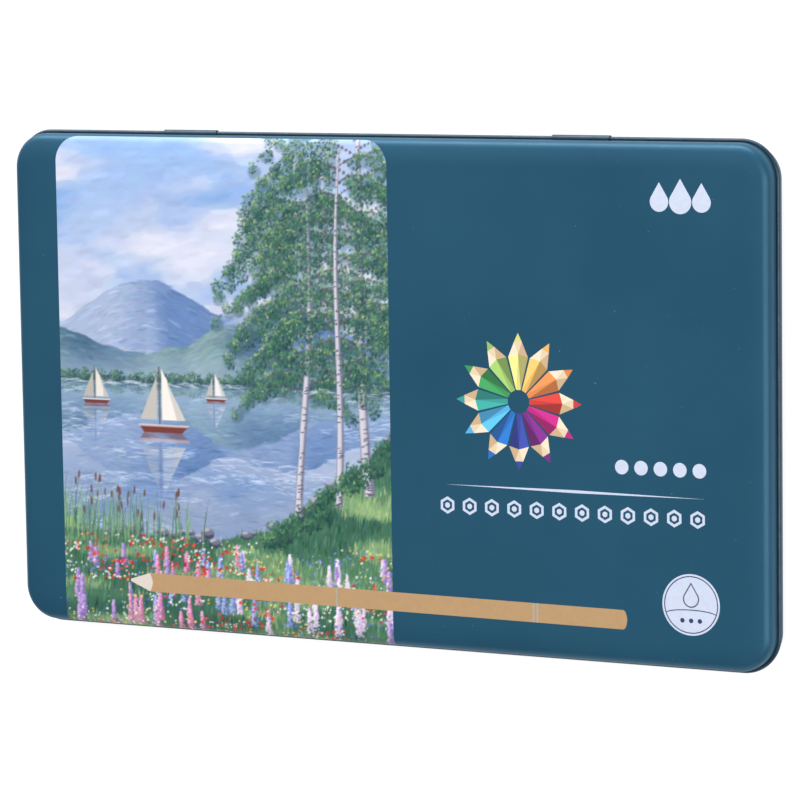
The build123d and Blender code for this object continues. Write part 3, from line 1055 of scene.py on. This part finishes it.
def build_floor():
    """Pale floor that the camera and the gloss see as white, with the object's own shadow on it."""
    material, tree, shader = new_material("floor_white")
    grey = (FLOOR_GREY, FLOOR_GREY, FLOOR_GREY, 1)
    fill(shader, Base_Color=grey, Roughness=1.0, Specular_IOR_Level=0.0)

    def combine(kind, first, second, operation=None):
        node = add_node(tree, kind)
        if operation:
            node.operation = operation
        put(node.inputs[0], first)
        put(node.inputs[1], second)
        return node.outputs[0]

    rays = add_node(tree, "LightPath").outputs
    seen = combine("Math", rays["Is Camera Ray"], rays["Is Glossy Ray"], "MAXIMUM")
    seen = combine("Math", seen, rays["Is Transmission Ray"], "MAXIMUM")
    glow = add_node(tree, "Emission", Strength=combine("Math", seen, FLOOR_GLOW, "MULTIPLY"))
    total = combine("AddShader", shader.outputs[0], glow.outputs[0])
    fill(tree.nodes["Material Output"], Surface=total)
    mesh = bpy.data.meshes.new("floor")
    corners = [(x * FLOOR_HALF, y * FLOOR_HALF, 0) for x, y in ((-1, -1), (1, -1), (1, 1), (-1, 1))]
    mesh.from_pydata(corners, [], [(0, 1, 2, 3)])
    mesh.materials.append(material)
    floor = add_object("floor", mesh)


def build_camera():
    """The photograph's viewpoint: a long lens, from the right and a little above."""
    eye = Vector(EYE)
    back = (eye - Vector(AIM)).normalized()
    right = Vector(UPWARD).cross(back).normalized()
    turn = Matrix((right, back.cross(right), back)).transposed().to_4x4()
    lens = bpy.data.cameras.new("camera")
    lens.lens, lens.sensor_width = FOCAL_LENGTH, SENSOR_WIDTH
    lens.clip_start, lens.clip_end = 0.01, 50.0
    camera = add_object("camera", lens)
    camera.matrix_world = Matrix.Translation(eye) @ turn
    bpy.context.scene.camera = camera


def area_light(name, eye, width, height, power):
    """A soft panel of light that faces the tin."""
    lamp = bpy.data.lights.new(name, "AREA")
    lamp.shape = "RECTANGLE"
    lamp.size, lamp.size_y = width, height
    lamp.energy = power
    thing = add_object(name, lamp)
    thing.location = eye
    thing.rotation_euler = (-Vector(eye)).to_track_quat("-Z", "Y").to_euler()


def build_light():
    world = bpy.data.worlds.new("studio")
    world.use_nodes = True
    fill(world.node_tree.nodes["Background"], Color=(1, 1, 1, 1), Strength=WORLD_LIGHT)
    bpy.context.scene.world = world
    for name, lamp in LAMPS.items():
        area_light(name, *lamp)


def main():
    bpy.context.scene.view_settings.view_transform = "Standard"
    build_camera()
    build_floor()
    build_light()
    teal = lacquer()
    dull, bright = (156, 159, 161), (165, 167, 168)
    plate = finish("bare_tinplate", dull, bright, 500, (0.30, 0.36), (0.04, 1, 1), 1.0, 0.0006)
    edge = finish("rolled_edge", (36, 58, 74), (48, 71, 87), 300, (0.3, 0.42), metallic=0.3, depth=0.003)
    build_lid([teal, plate, edge])
    build_base([teal, plate, edge])
    build_pencils()
    build_picture()
    build_prints()
    tray = finish("white_plastic", (224, 224, 220), (232, 232, 229), 40, (0.3, 0.42), depth=0.004)
    for slot in bpy.data.objects["pencil_tray"].material_slots:
        slot.material = tray


main()
